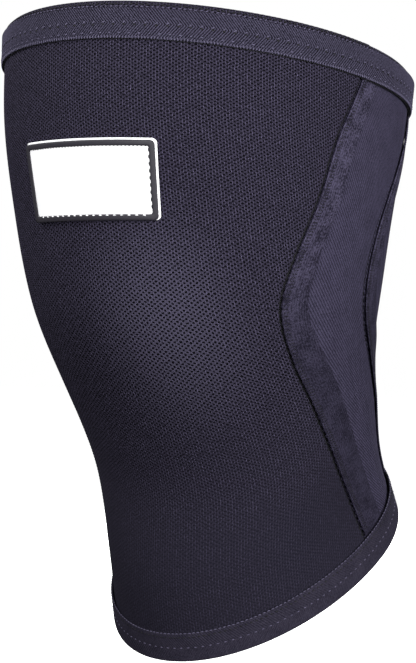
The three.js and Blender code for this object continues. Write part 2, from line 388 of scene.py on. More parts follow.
def makeMeshKnit(name, look):
    material, tree, shader = newMaterial(name)
    uv = addNode(tree, "UVMap", uv_map="cloth")
    wander = addNode(tree, "TexNoise", {"Vector": uv, "Scale": look["wanderScale"], "Detail": 1.0})
    drift = addNode(tree, "VectorMath", [wander.outputs["Color"], (0.5, 0.5, 0.5)], operation="SUBTRACT")
    stray = (look["wander"], look["wander"], 0)
    spot = addNode(tree, "VectorMath", [drift, stray, uv], operation="MULTIPLY_ADD")
    turns = (math.pi / look["columnPitch"], 2 * math.pi / look["holePitch"], 0)
    turned = addNode(tree, "VectorMath", [spot, turns], operation="MULTIPLY")
    waves = addNode(tree, "VectorMath", [turned], operation="COSINE")
    columnWave, holeWave, _ = addNode(tree, "SeparateXYZ", [waves]).outputs
    lattice = addNode(tree, "Math", [columnWave, holeWave], operation="MULTIPLY")
    up = addNode(tree, "SeparateXYZ", [uv]).outputs["Y"]
    # Near the bottom the knit lies loose: its holes close up, and painted shade darkens its threads
    slackShade = addNode(tree, "MapRange", [up, look["slackFrom"], look["slackTo"]], **softEnds)
    opened = addNode(tree, "Math", [slackShade, -look["slackClosing"], 1.0], operation="MULTIPLY_ADD")
    dark = addNode(tree, "MapRange", [lattice, *look["holeRim"]], **softEnds)
    hole = addNode(tree, "Math", [dark, opened], operation="MULTIPLY")
    offColumn = addNode(tree, "Math", [columnWave], operation="ABSOLUTE")
    crown = addNode(tree, "MapRange", [offColumn, *look["crown"]], **softEnds)
    fleck = addNode(tree, "TexNoise", {"Vector": uv, "Scale": look["fleckScale"], "Detail": 3.0})
    glint = addNode(tree, "MapRange", [fleck, *look["fleck"]], **softEnds)
    for share in (crown, opened):
        glint = addNode(tree, "Math", [glint, share], operation="MULTIPLY")
    # A painted highlight over the kneecap's bulge
    centreX, centreY, reach = look["kneecap"]
    fromKneecap = addNode(tree, "VectorMath", [uv, (centreX, centreY, 0)], operation="DISTANCE")
    kneecapHighlight = addNode(tree, "MapRange", [fromKneecap, reach, 0.0], **softEnds)
    # Over the thread colour: the painted highlight, the painted shade near the bottom, the painted glints,
    # then the holes
    colour = linear(look["thread"])
    for share, over in ((kneecapHighlight, "kneecapHighlight"), (slackShade, "slackShade"), (glint, "glint"), (hole, "hole")):
        colour = addNode(tree, "Mix", {"Factor": share, 6: colour, 7: linear(look[over])}, data_type="RGBA")
    height = addNode(tree, "Math", [hole, -1.0, fleck], operation="MULTIPLY_ADD")
    clothShader(tree, shader, colour, height, look)
    return material


# Rib and jersey knits: low soft ribs in one direction, with fine fuzz and faint patches of light and
# shade. Twill turns its ribs about its middle line. In suede a patchy nap all but hides them. Ribs and
# loops are given in waves to the mm, across the cloth and up it.
fuzz = {"scale": 1.2, "roughness": 0.6, "bump": 0.8, "patchScale": 0.14}


def makeRibKnit(name, look):
    material, tree, shader = newMaterial(name)
    uv = addNode(tree, "UVMap", uv_map="cloth")
    place = addNode(tree, "VectorMath", [uv, (0, look.get("middle", 0), 0)], operation="SUBTRACT")
    if "middle" in look:
        place = addNode(tree, "VectorMath", [place], operation="ABSOLUTE")
    waves = []
    for lines in ("ribs", "loops"):
        turns = [2 * math.pi * share for share in look[lines]] + [0]
        turned = addNode(tree, "VectorMath", [place, turns], operation="DOT_PRODUCT")
        waves.append(addNode(tree, "Math", [turned], operation="COSINE"))
    rib, loop = waves
    relief = addNode(tree, "Math", [loop, look["loopShare"], rib], operation="MULTIPLY_ADD")
    grain = addNode(tree, "TexNoise", {
        "Vector": uv,
        "Scale": fuzz["scale"],
        "Detail": 3.0,
        "Roughness": fuzz["roughness"],
    })
    patch = addNode(tree, "TexNoise", {"Vector": uv, "Scale": fuzz["patchScale"], "Detail": 2.0})
    nap = addNode(tree, "Math", [patch, look["patchy"], grain], operation="MULTIPLY_ADD")
    shade = addNode(tree, "Math", [relief, look["ribShade"], nap], operation="MULTIPLY_ADD")
    middle = 0.5 + 0.5 * look["patchy"]
    low, high = middle - look["spread"], middle + look["spread"]
    amount = addNode(tree, "MapRange", [shade, low, high], **softEnds)
    light = linear(look["light"])
    # painted light: the colour grows lighter up the cloth
    if "upperLight" in look:
        up = addNode(tree, "SeparateXYZ", [uv]).outputs["Y"]
        upperLit = addNode(tree, "MapRange", [up, look["upperFrom"], look["upperTo"]], **softEnds)
        light = addNode(tree, "Mix", {"Factor": upperLit, 6: light, 7: linear(look["upperLight"])}, data_type="RGBA")
    colour = addNode(tree, "Mix", {"Factor": amount, 6: linear(look["dark"]), 7: light}, data_type="RGBA")
    height = addNode(tree, "Math", [grain, fuzz["bump"], relief], operation="MULTIPLY_ADD")
    clothShader(tree, shader, colour, height, look)
    return material


# Silicone rubber and sewing thread: even colour, faint unevenness
plain = {"darkest": 0.9, "bump": 0.15, "relief": 0.1 * mm, "gloss": 0.3}


def makePlain(name, colour, roughness, scale):
    material, tree, shader = newMaterial(name)
    place = addNode(tree, "TexCoord").outputs["Object"]
    grain = addNode(tree, "TexNoise", {"Vector": place, "Scale": scale / mm, "Detail": 2.0})
    light = linear(colour)
    dark = [part * plain["darkest"] for part in light[:3]] + [1]
    relief = {"Height": grain, "Strength": plain["bump"], "Distance": plain["relief"]}
    setInputs(tree, shader, {
        "Base Color": addNode(tree, "Mix", {"Factor": grain, 6: dark, 7: light}, data_type="RGBA"),
        "Normal": addNode(tree, "Bump", relief),
        "Roughness": roughness,
        "Specular IOR Level": plain["gloss"],
    })
    return material


# Fine rib knit of the side and back panels: smooth and matt, with soft slanting lines. The ribs are three
# grid steps apart and fall to the back.
sideKnit = {
    "columnPitch": 0.48,  # mm
    "rowPitch": 0.57,
    "loops": (1 / 1.1, -1 / 0.9),
    "loopShare": 0.35,
    "ribHeight": 0.1 * mm,
    "ribShade": 0.2,
    "spread": 0.27,
    "patchy": 0.3,
    "dark": "#22202d",
    "light": "#403c50",
    "bump": 0.5,
    "relief": 0.15,
    "roughness": 0.9,
    "sheen": 0.04,
}
sideKnit["ribs"] = [1 / (3 * sideKnit[pitch]) for pitch in ("columnPitch", "rowPitch")]
# Jersey on the inner face: flat and nearly black
jersey = {
    "ribs": (1 / 1.0, 0),
    "loops": (0, 1 / 0.8),
    "loopShare": 0.6,
    "ribShade": 0.1,
    "spread": 0.35,
    "patchy": 0.2,
    "dark": "#181621",
    "light": "#2e2b39",
    "bump": 0.4,
    "relief": 0.15,
    "roughness": 0.9,
    "sheen": 0.04,
}
materials = {
    "meshKnit": makeMeshKnit("warp_knit_mesh", meshKnit),
    "ribKnit": makeRibKnit("fine_rib_knit", sideKnit),
    "lining": makeRibKnit("jersey_lining", jersey),
    "rubberWhite": makePlain("white_silicone", "#fdfdff", 0.55, 0.3),  # clean satin white
    "rubberDark": makePlain("charcoal_silicone", "#2b2930", 0.5, 0.3),  # soft grey gleam along its edges
    "threadLight": makePlain("grey_polyester_thread", "#514d63", 0.6, 2),  # small pale dots on dark cloth
    "threadDark": makePlain("black_polyester_thread", "#0b0a10", 0.7, 2),  # the dark line of a seam
}
print("materials made")

panels = {
    "edge": 1.4 * mm,
    "edgeSteps": 4,
    "rim": 2.4 * mm,
    "rimSteps": 6,
    "gap": 0.25 * mm,  # half the space in a seam
    "sideMiddle": math.radians(100),
    "backCoarser": 1.2,  # the back panel's grid against the sides'
    "freeFrom": 0.2,  # columns from the edge at which holes and ribs start
    "nipPitch": 3 * mm,  # from stitch to stitch of a seam
    "nip": 1.0 * mm,  # how deep a stitch pulls the edge in
    "nipLow": 60 * mm,  # up to here all the way, and from nipHigh up only nipLeast of it
    "nipHigh": 130 * mm,
    "nipLeast": 0.3,
}


def panelWall(name, left, right, middle, columnPitch, rowPitch, outside, looks, relief, scallop, mirror=1):
    edge, rim, edgeSteps, rimSteps = panels["edge"], panels["rim"], panels["edgeSteps"], panels["rimSteps"]
    reach = max(
        abs(arcTo(side(level), level) - arcTo(middle, level))
        for level in np.linspace(0, 1, 41) for side in (left, right)
    )
    columns = 2 * (math.ceil(reach / columnPitch) + edgeSteps)
    rows = 2 * (round((leg["sleeveLength"] - 2 * rim) / rowPitch / 2) + rimSteps)
    bm = flatCloth(columns, rows, backThinning)

    def place(flat):
        x, y, face = flat.T
        fromSide = np.minimum(x, columns - x)
        fromEnd = np.minimum(y, rows - y)
        sideInset, sideFall, sideRun = roll(fromSide, edgeSteps, edge)
        endInset, endFall, _ = roll(fromEnd, rimSteps, rim)
        share = np.clip((y - rimSteps) / (rows - 2 * rimSteps), 0, 1)
        rimShare = rim / leg["sleeveLength"]
        level = rimShare + share * (1 - 2 * rimShare)
        turn, u, free = np.zeros(len(x)), np.zeros(len(x)), np.zeros(len(x), bool)
        pull = panels["gap"] + scallop(y, rowPitch)
        for row in range(rows + 1):
            here = np.flatnonzero(np.abs(y - row) < 0.5)
            at = level[here[0]]
            start, end, centre = arcTo(left(at), at), arcTo(right(at), at), arcTo(middle, at)
            wanted = centre + (x[here] - columns / 2) * columnPitch
            low, high = start + pull[here] + edge, end - pull[here] - edge
            kept = np.clip(wanted, low, high)
            inner = fromSide[here] >= edgeSteps
            clear = panels["freeFrom"] * columnPitch
            free[here] = inner & (wanted > low + clear) & (wanted < high - clear)
            nearest = np.where(wanted < (low + high) / 2, low, high)
            kept = np.where(free[here], kept, nearest)
            onEdge = np.where(x[here] < columns / 2, start + pull[here] + sideInset[here],
                              end - pull[here] - sideInset[here])
            arc = np.where(inner, kept, onEdge)
            turn[here] = turnTo(arc, at)
            run = np.where(inner, 0, edge * math.pi / 2 - sideRun[here])
            u[here] = np.where(inner, kept, np.where(x[here] < columns / 2, low - run, high + run)) - centre
        rimLow, rimHigh = rim / upLength(turn, np.zeros_like(turn)), rim / upLength(turn, np.ones_like(turn))
        at = rimLow + share * (1 - rimLow - rimHigh)
        at = np.where(y < rimSteps, endInset / rim * rimLow, at)
        at = np.where(y > rows - rimSteps, 1 - endInset / rim * rimHigh, at)
        fall = np.maximum(sideFall, endFall)
        lift = relief(mirror * (x - columns / 2), y - rimSteps, free)
        out = np.where(face > 0.5, outside - fall + lift, -leg["wall"] + fall)
        v = (y - rimSteps) * rowPitch
        return offSkin(turn, at, out), np.stack([mirror * u, v], -1) / mm

    piece = wrapped(name, bm, place, looks)
    declareSheet(piece)
    return piece


def holeRelief(column, row, free):  # holes lie on every other point of the cloth's grid
    isHole = (np.round(column) + np.round(row)) % 2 == 0
    up = row * meshKnit["holePitch"] / 2
    opened = np.clip((up - meshKnit["slackTo"]) / (meshKnit["slackFrom"] - meshKnit["slackTo"]),
                     meshKnit["slackDepth"], 1)
    return np.where(free & isHole, -meshKnit["holeDepth"] * opened, 0)


def stitchPull(row, rowPitch):  # the seam's stitches nip the panel's edge, tighter below the knee
    up = row * rowPitch
    share = np.interp(up, [panels["nipLow"], panels["nipHigh"]], [1, panels["nipLeast"]])
    return panels["nip"] * share * np.maximum(0, np.cos(2 * np.pi * up / panels["nipPitch"])) ** 2


def ribRelief(column, row, free):  # every third diagonal of the grid stands up
    crest = np.round(column + row) % 3 == 0
    return np.where(free, np.where(crest, 1, -0.5) * sideKnit["ribHeight"], 0)


frontPanel = panelWall(
    "front_panel_cloth", lambda at: -frontSeam(at), frontSeam, 0.0,
    meshKnit["columnPitch"] * mm, meshKnit["holePitch"] / 2 * mm, 0.0,
    [materials["meshKnit"], materials["lining"]], holeRelief, stitchPull,
)
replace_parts(frontPanel, "front_panel")

sideMiddle = panels["sideMiddle"]
knitLooks = [materials["ribKnit"], materials["lining"]]
knitPitch = (sideKnit["columnPitch"] * mm, sideKnit["rowPitch"] * mm)
rightPanel = panelWall(
    "side_panel_right_cloth", frontSeam, rearSeam, sideMiddle, *knitPitch,
    -leg["panelStep"], knitLooks, ribRelief, stitchPull,
)
leftPanel = panelWall(
    "side_panel_left_cloth", lambda at: -rearSeam(at), lambda at: -frontSeam(at), -sideMiddle, *knitPitch,
    -leg["panelStep"], knitLooks, ribRelief, stitchPull, -1,
)
backPanel = panelWall(
    "back_panel_cloth", rearSeam, lambda at: 2 * math.pi - rearSeam(at), math.pi,
    *(panels["backCoarser"] * pitch for pitch in knitPitch),
    -leg["panelStep"], knitLooks, ribRelief, stitchPull,
)
for piece, node in (
    (rightPanel, "side_panel_right"),
    (leftPanel, "side_panel_left"),
    (backPanel, "back_panel"),
):
    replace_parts(piece, node)


# Hem tapes bound round each rim, their two halves of ridges meeting in the middle
tape = {
    "width": 11.4 * mm,
    "thickness": 0.9 * mm,
    "topRoll": 2.9 * mm,  # cloth left bare above the top tape
    "bottomRoll": 0.6 * mm,
    "lift": 0.3 * mm,
    "ridgePitch": 1.1 * mm,  # three points of the grid
    "edge": 0.4 * mm,
    "edgeSteps": 2,
    "rows": 24,
    "ridge": 0.32 * mm,
    "crease": 0.35 * mm,
    "creaseReach": 1.4,  # rows
    "topAround": 0.96,  # levels at which the tapes' lengths are measured
    "bottomAround": 0.03,
}
ridgePitch = tape["ridgePitch"] / mm
ridgeRise = 3 * (tape["width"] - 2 * tape["edge"]) / tape["rows"] / mm  # three rows
# Herringbone twill: slanting ridges with a soft gleam, meeting in a darker crease
twill = {
    "middle": tape["width"] / 2 / mm,
    "ribs": (1 / ridgePitch, 1 / ridgeRise),
    "loops": (2 / ridgePitch, -1 / ridgeRise),
    "loopShare": 0.25,
    "ribShade": 0.28,
    "spread": 0.35,
    "patchy": 0.15,
    "dark": "#100e17",
    "light": "#434052",
    "bump": 0.6,
    "relief": 0.25,
    "roughness": 0.85,
    "sheen": 0.04,
}
# The bottom tape is smoother from wear and duller, and its pale threads are painted darker as shade low on
# the sleeve
smoothTwill = dict(twill, ribShade=0.08, patchy=0.4, bump=0.3, dark="#1a1823", light="#322f3c")
materials["twill"] = makeRibKnit("herringbone_twill", twill)
materials["smoothTwill"] = makeRibKnit("brushed_herringbone_twill_in_shade", smoothTwill)


def topLevel(turn, height):
    return 1 - (tape["topRoll"] + tape["width"] - height) / upLength(turn, np.ones_like(turn))


def bottomLevel(turn, height):
    return (tape["bottomRoll"] + height) / upLength(turn, np.zeros_like(turn))


rims = {"top": (topLevel, tape["topAround"]), "bottom": (bottomLevel, tape["bottomAround"])}


def hemTape(name, rim, look, ridgeShare):
    levelOf, nearRim = rims[rim]
    around = arcTo(2 * math.pi, nearRim)
    columns = 3 * round(around / tape["ridgePitch"])
    steps, rows = tape["edgeSteps"], tape["rows"] + 2 * tape["edgeSteps"]
    bm = flatCloth(columns, rows, backThinning, ring=True)

    def place(flat):
        x, y, face = flat.T
        inset, fall, _ = roll(np.minimum(y, rows - y), steps, tape["edge"])
        share = np.clip((y - steps) / tape["rows"], 0, 1)
        height = tape["edge"] + share * (tape["width"] - 2 * tape["edge"])
        height = np.where(y < steps, inset, np.where(y > rows - steps, tape["width"] - inset, height))
        turn = turnTo(x % columns / columns * around, nearRim)
        fromMiddle = np.abs(y - rows / 2)
        ridge = np.where(np.round(x + fromMiddle) % 3 == 0, 0.5, -0.5) * tape["ridge"] * ridgeShare
        crease = -tape["crease"] * np.exp(-(fromMiddle / tape["creaseReach"]) ** 2) * ridgeShare
        lift = np.where(fall > 0, 0, ridge + crease)
        out = tape["lift"] + np.where(face > 0.5, tape["thickness"] - fall + lift, fall)
        flatMm = np.stack([x * tape["ridgePitch"] / 3, height], -1) / mm
        return offSkin(turn, levelOf(turn, height), out), flatMm

    piece = wrapped(name, bm, place, [look, materials["lining"]])
    declareSheet(piece)
    return piece


topTape = hemTape("top_hem_twill", "top", materials["twill"], 1)
bottomTape = hemTape("bottom_hem_twill", "bottom", materials["smoothTwill"], 0.3)
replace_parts(topTape, "top_hem_tape")
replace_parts(bottomTape, "bottom_hem_tape")


# Seam strips: a knitted tape laid behind each seam, with raised wales beside the seam and one row of
# stitches sunk into it
strip = {
    "width": 14.5 * mm,  # at its widest, below the knee
    "thickness": 0.7 * mm,
    "gap": 0.3 * mm,
    "edge": 0.35 * mm,
    "edgeSteps": 2,
    "columns": 24,
    "rowPitch": 0.55 * mm,
    "wale": 1.1 * mm,
    "waleHeight": 0.22 * mm,
    "waleStart": 0.45,
    "wales": 2.6 * mm,  # how far the two edge wales reach
    "waleFade": 0.5 * mm,
    "grooveAt": 0.56,  # share of the width where a row of stitches pulls the strip down
    "groove": 0.32 * mm,
    "grooveReach": 0.035,
    "groovePitch": 2.7 * mm,
    "grooveWave": 0.25,
}
# Brushed knit tape: a dull dark nap, mottled by handling
suede = {
    "ribs": (1 / 1.1, 0),
    "loops": (0, 1 / 1.1),
    "loopShare": 0.2,
    "ribShade": 0.05,
    "spread": 0.2,
    "patchy": 0.5,
    "dark": "#16141f",
    "light": "#302d3d",
    "upperLight": "#454155",  # painted light: the nap is lighter up the thigh
    "upperFrom": 70,  # mm up the cloth
    "upperTo": 150,
    "bump": 0.4,
    "relief": 0.12,
    "roughness": 0.95,
    "sheen": 0.06,
}
materials["suede"] = makeRibKnit("brushed_knit_tape", suede)


def seamStrip(name, seam, side):
    steps, columns = strip["edgeSteps"], strip["columns"] + 2 * strip["edgeSteps"]
    rows = 2 * round((leg["sleeveLength"] - 2 * tape["width"]) / strip["rowPitch"] / 2)
    bm = flatCloth(columns, rows, backThinning)

    def place(flat):
        x, y, face = flat.T
        fromSeam = x if side > 0 else columns - x
        inset, sideFall, _ = roll(np.minimum(x, columns - x), steps, strip["edge"])
        endInset, endFall, _ = roll(np.minimum(y, rows - y), steps, strip["edge"])
        turn, fromEdge, share = (np.zeros(len(x)) for _ in range(3))
        for row in range(rows + 1):
            here = np.flatnonzero(np.abs(y - row) < 0.5)
            at = 0.06 + 0.87 * row / rows  # a first guess, mended twice
            for _ in range(2):
                middle = np.array([seam(at)])
                low = bottomLevel(middle, tape["width"] + strip["gap"])[0]
                high = topLevel(middle, -strip["gap"])[0]
                at = low + (high - low) * row / rows
            width = strip["width"] * stripShare(at)
            across = (fromSeam[here] - steps) / strip["columns"]
            fromEdge[here] = strip["edge"] + np.clip(across, 0, 1) * (width - 2 * strip["edge"])
            fromEdge[here] = np.where(fromSeam[here] < steps, inset[here], fromEdge[here])
            fromEdge[here] = np.where(fromSeam[here] > columns - steps, width - inset[here], fromEdge[here])
            turn[here] = turnTo(side * (arcTo(seam(at), at) + strip["gap"] + fromEdge[here]), at)
            share[here] = fromEdge[here] / width
        low, high = bottomLevel(turn, tape["width"] + strip["gap"]), topLevel(turn, -strip["gap"])
        level = low + (high - low) * y / rows
        wale = strip["waleHeight"] * np.cos(2 * np.pi * (fromEdge / strip["wale"] - strip["waleStart"]))
        wale = wale * np.clip((strip["wales"] - fromEdge) / strip["waleFade"], 0, 1)
        groove = -strip["groove"] * np.exp(-((share - strip["grooveAt"]) / strip["grooveReach"]) ** 2)
        wave = np.cos(2 * np.pi * y * strip["rowPitch"] / strip["groovePitch"])
        groove = groove * (1 - strip["grooveWave"] + strip["grooveWave"] * wave)
        fall = np.maximum(sideFall, endFall)
        lift = np.where(fall > 0, 0, wale + groove)
        base = -leg["panelStep"] + strip["gap"]
        out = base + np.where(face > 0.5, strip["thickness"] - fall + lift, fall)
        return offSkin(turn, level, out), np.stack([fromEdge, y * strip["rowPitch"]], -1) / mm

    piece = wrapped(name, bm, place, [materials["suede"], materials["lining"]])
    declareSheet(piece)
    return piece


for end, word, seam, side in seamSides:
    node = f"{end}_strip_{word}"
    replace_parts(seamStrip(node + "_cloth", seam, side), node)


# Label: a white rubber patch with a raised charcoal border, left blank
label = {
    "width": 60 * mm,
    "height": 30.5 * mm,
    "thickness": 0.9 * mm,
    "corner": 1.8 * mm,
    "turn": math.radians(2.5),
    "at": 0.724,  # level of its middle
    "lift": 0.3 * mm,
    "edge": 0.3 * mm,
    "grid": (120, 60),
    "border": 2.2 * mm,
    "borderHeight": 0.4 * mm,
    "borderEdge": 0.2 * mm,
    "borderGrid": (360, 6),
    "borderSunk": 0.1 * mm,
    "innerCorner": 0.5,  # share of the outer corner's radius
    "margin": 0.7 * mm,  # white left bare at the top and right, so the border sits off the middle
    "seat": 0.05 * mm,
}


def onLabel(x, y, out):
    turn, at = np.full_like(x[:1], label["turn"]), np.full_like(x[:1], label["at"])
    across = np.linalg.norm(turnTravel(turn, at), axis=-1)
    return offSkin(label["turn"] + x / across, label["at"] + y / upLength(turn, at), out)


def rectangleEdge(share, halfX, halfY, corner):  # a walk round a rectangle with round corners
    coreX, coreY, quarter = label["width"] / 2, label["height"] / 2, label["corner"] * math.pi / 2
    walk = np.cumsum([0] + [2 * coreX, quarter, 2 * coreY, quarter] * 2)
    walk = walk / walk[-1]
    a, b = halfX - corner, halfY - corner
    x = a * np.interp(share, walk, [-1, 1, 1, 1, 1, -1, -1, -1, -1])
    y = b * np.interp(share, walk, [-1, -1, -1, 1, 1, 1, 1, -1, -1])
    angle = np.interp(share, walk, np.radians([-90, -90, 0, 0, 90, 90, 180, 180, 270]))
    return x + corner * np.cos(angle), y + corner * np.sin(angle)


def labelPatch():
    columns, rows = label["grid"]
    bm = flatCloth(columns, rows, backThinning)

    def place(flat):
        x, y, face = flat.T
        toEdge = np.minimum(np.minimum(x, columns - x), np.minimum(y, rows - y))
        _, fall, _ = roll(toEdge, 2, label["edge"])
        px = (x / columns - 0.5) * label["width"]
        py = (y / rows - 0.5) * label["height"]
        overX = np.maximum(0, np.abs(px) - (label["width"] / 2 - label["corner"]))
        overY = np.maximum(0, np.abs(py) - (label["height"] / 2 - label["corner"]))
        reach = np.maximum(np.hypot(overX, overY), 1e-9)
        shrink = np.maximum(overX, overY) / reach
        px = np.sign(px) * (np.abs(px) - overX * (1 - shrink))
        py = np.sign(py) * (np.abs(py) - overY * (1 - shrink))
        out = label["lift"] + np.where(face > 0.5, label["thickness"] - fall, 0)
        return onLabel(px, py, out), np.stack([px, py], -1) / mm

    return wrapped("label_patch_rubber", bm, place, [materials["rubberWhite"], materials["rubberWhite"]])


def labelBorder():
    columns, rows = label["borderGrid"]
    bm = flatCloth(columns, rows, ring=True)

    def place(flat):
        x, y, face = flat.T
        across = y / rows  # 0 on the outer edge
        _, fall, _ = roll(np.minimum(y, rows - y), 2, label["borderEdge"])
        inward = across * label["border"]
        halfX = (label["width"] - label["margin"]) / 2 - inward
        halfY = (label["height"] - label["margin"]) / 2 - inward
        corner = label["corner"] * (1 - label["innerCorner"] * across)
        px, py = rectangleEdge(x % columns / columns, halfX, halfY, corner)
        patchTop = label["lift"] + label["thickness"]
        top = patchTop + label["seat"] + label["borderHeight"]
        out = np.where(face > 0.5, top - fall, patchTop - label["borderSunk"])
        return onLabel(px - label["margin"] / 2, py - label["margin"] / 2, out), np.stack([px, py], -1) / mm

    return wrapped("label_border_rubber", bm, place, [materials["rubberDark"], materials["rubberDark"]])


patch = labelPatch()
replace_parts(patch, "label_patch")
border = labelBorder()
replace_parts(border, "label_frame")


# Stitches: each is a short plump thread lying on the cloth. Small batches keep the making quick.
stitchForm = {"segments": 6, "rings": 4, "batch": 500}


def stitches(name, rows, look):
    whole, batch = bmesh.new(), bmesh.new()
    mesh = bpy.data.meshes.new(name)
    for row in rows:
        points, across, up, out = skinFrame(row["turn"], row["level"])
        heights = np.broadcast_to(row["height"], len(points))
        for i in range(len(points)):
            along = Vector(across[i] * math.cos(row["lean"]) + up[i] * math.sin(row["lean"]))
            normal = Vector(out[i])
            place = Matrix((along, normal.cross(along), normal)).transposed().to_4x4()
            place.translation = Vector(points[i]) + normal * float(heights[i])
            bmesh.ops.create_uvsphere(
                batch, u_segments=stitchForm["segments"], v_segments=stitchForm["rings"],
                radius=0.5, matrix=place @ Matrix.Diagonal((*row["size"], 1)),
            )
            if len(batch.verts) > stitchForm["batch"] or i == len(points) - 1:
                batch.to_mesh(mesh)
                whole.from_mesh(mesh)
                batch.clear()
    for face in whole.faces:
        face.smooth = True
    whole.to_mesh(mesh)
    whole.free()
    batch.free()
    return finished(name, mesh, [look])


# Rows of stitches are tabled in mm: how high on the tape, how far from stitch to stitch, a stitch's own
# size, and how far it lies over the front panel's skin. Those on the panels follow the lower ones down.
ringColumns = ("rim", "height", "pitch", "length", "width", "thickness", "out", "lean", "onPanels")
seamColumns = ("offset", "pitch", "length", "width", "thickness", "out", "lean")
seamReach = (0.07, 0.93)  # levels between which a seam is stitched


def stitchRow(row, turn, level, height):
    size = [row[side] * mm for side in ("length", "width", "thickness")]
    return {"turn": turn, "level": level, "height": height, "size": size, "lean": row["lean"]}


def ringStitches(values):
    row = dict(zip(ringColumns, values))
    levelOf, nearRim = rims[row["rim"]]
    around = arcTo(2 * math.pi, nearRim)
    count = round(around / (row["pitch"] * mm))
    turn = turnTo((np.arange(count) + 0.5) / count * around, nearRim)
    level = levelOf(turn, np.full(count, row["height"] * mm))
    behind = np.cos(turn) < np.cos(frontSeam(level))
    return stitchRow(row, turn, level, row["out"] * mm - leg["panelStep"] * behind * row["onPanels"])


def seamStitches(seam, side, values):
    row = dict(zip(seamColumns, values))
    start, end = seamReach
    count = round((end - start) * leg["sleeveLength"] / (row["pitch"] * mm))
    level = start + (end - start) * (np.arange(count) + 0.5) / count
    turn = np.array([turnTo(side * (arcTo(seam(at), at) + row["offset"] * mm), at) for at in level])
    return stitchRow(row, turn, level, row["out"] * mm)


upright = math.pi / 2
tapeTop = (tape["lift"] + tape["thickness"]) / mm
inside = -leg["wall"] / mm
hemLightRows = [
    ("top", 5.9, 4.1, 1.7, 0.5, 0.5, tapeTop - 0.05, 0.6, False),
    ("top", 1.9, 3.8, 1.2, 0.55, 0.5, tapeTop + 0.1, 0.3, False),
    ("top", 0.45, 1.2, 1.3, 0.5, 0.5, tapeTop - 0.1, upright, False),
    ("top", 11.9, 2.0, 1.3, 0.5, 0.5, 0.2, 0.2, True),
    ("bottom", 11.5, 1.8, 1.4, 0.45, 0.45, tapeTop - 0.15, 0.0, False),
    ("bottom", 5.6, 3.0, 1.2, 0.5, 0.45, tapeTop, 0.0, False),
]
hemDarkAndShadowRows = [
    ("top", 5.1, 4.1, 1.3, 0.7, 0.3, tapeTop - 0.05, -0.4, False),
    ("top", 12.8, 2.0, 1.2, 0.7, 0.3, -0.1, 0.0, True),
    # painted shadow: a ring of black thread under the top tape's lower edge stands for the shadow line there
    ("top", -0.1, 1.3, 1.5, 0.6, 0.5, 0.25, 0.0, False),
    ("bottom", 9.9, 2.1, 1.2, 0.6, 0.35, tapeTop + 0.05, 0.0, False),
]
insideRows = [
    ("top", 5.9, 4.1, 2.6, 0.4, 0.4, inside - 0.05, 0.0, False),
    ("top", 0.8, 4.1, 2.6, 0.4, 0.4, inside - 0.05, 0.0, False),
    ("bottom", 5.6, 3.0, 2.0, 0.4, 0.4, inside - 0.05, 0.0, False),
    ("bottom", 9.9, 3.0, 2.0, 0.4, 0.4, inside - 0.05, 0.0, False),
]
seamDarkRows = [
    (1.35, 1.1, 0.75, 0.5, 0.4, 0.45, 0.0),
    (2.5, 1.1, 0.7, 0.5, 0.4, 0.42, 0.0),
]
seamInsideRows = [
    (-0.9, 2.4, 2.2, 0.4, 0.4, inside - 0.05, 0.5),
    (0.9, 2.4, 2.2, 0.4, 0.4, inside - 0.05, -0.5),
]
hemLight = stitches("hem_stitches", [ringStitches(row) for row in hemLightRows], materials["threadLight"])
# dark hem stitches, with the painted shadow line under the top tape
hemDarkAndShadow = stitches("hem_dark_stitches_and_shadow_line", [ringStitches(row) for row in hemDarkAndShadowRows], materials["threadDark"])
seamDark = stitches("seam_stitches", [
    seamStitches(seam, side, row) for _, _, seam, side in seamSides for row in seamDarkRows
], materials["threadDark"])
insideStitches = stitches("inside_stitches", [
    seamStitches(seam, side, row) for _, _, seam, side in seamSides for row in seamInsideRows
] + [ringStitches(row) for row in insideRows], materials["threadLight"])


# The label's moulded stitches: dashes inside the right and top borders, white ones in the lower border
def labelStitches(x, y, size, out, lean):
    x, y = np.broadcast_arrays(np.asarray(x, float), np.asarray(y, float))
    turn, at = np.array([label["turn"]]), np.array([label["at"]])
    across = np.linalg.norm(turnTravel(turn, at), axis=-1)
    return {
        "turn": label["turn"] + x / across,
        "level": label["at"] + y / upLength(turn, at),
        "height": out,
        "size": size,
        "lean": lean,
    }


patchTop = label["lift"] + label["thickness"]
borderTop = patchTop + label["seat"] + label["borderHeight"]
innerX, innerY = (label[side] / 2 - label["margin"] - label["border"] for side in ("width", "height"))
dashes = {
    "rightPitch": 2.65 * mm,
    "rightSize": (1.7 * mm, 0.8 * mm, 0.5 * mm),
    "rightInset": 0.1 * mm,
    "topPitch": 1.5 * mm,
    "topSize": (0.8 * mm, 0.7 * mm, 0.5 * mm),
    "darkEnds": (2 * mm, 1 * mm),  # left bare at a row's two ends
    "whitePitch": 3 * mm,
    "whiteSize": (1.3 * mm, 0.5 * mm, 0.4 * mm),
    "whiteDrop": 1.0 * mm,  # from the lower border's inner edge
    "whiteSunk": 0.05 * mm,
    "whiteEnds": (3 * mm, 2 * mm),
}


def dashSpots(reach, ends, pitch):
    return np.arange(-reach + ends[0], reach - ends[1], pitch)


labelDark = stitches("label_dark_dashes", [
    labelStitches(innerX - dashes["rightInset"], dashSpots(innerY, dashes["darkEnds"], dashes["rightPitch"]),
                  dashes["rightSize"], patchTop, upright),
    labelStitches(dashSpots(innerX, dashes["darkEnds"], dashes["topPitch"]), innerY,
                  dashes["topSize"], patchTop, 0.0),
], materials["rubberDark"])
labelLight = stitches("label_white_dashes", [
    labelStitches(dashSpots(innerX, dashes["whiteEnds"], dashes["whitePitch"]), -innerY - dashes["whiteDrop"],
                  dashes["whiteSize"], borderTop - dashes["whiteSunk"], 0.0),
], materials["rubberWhite"])


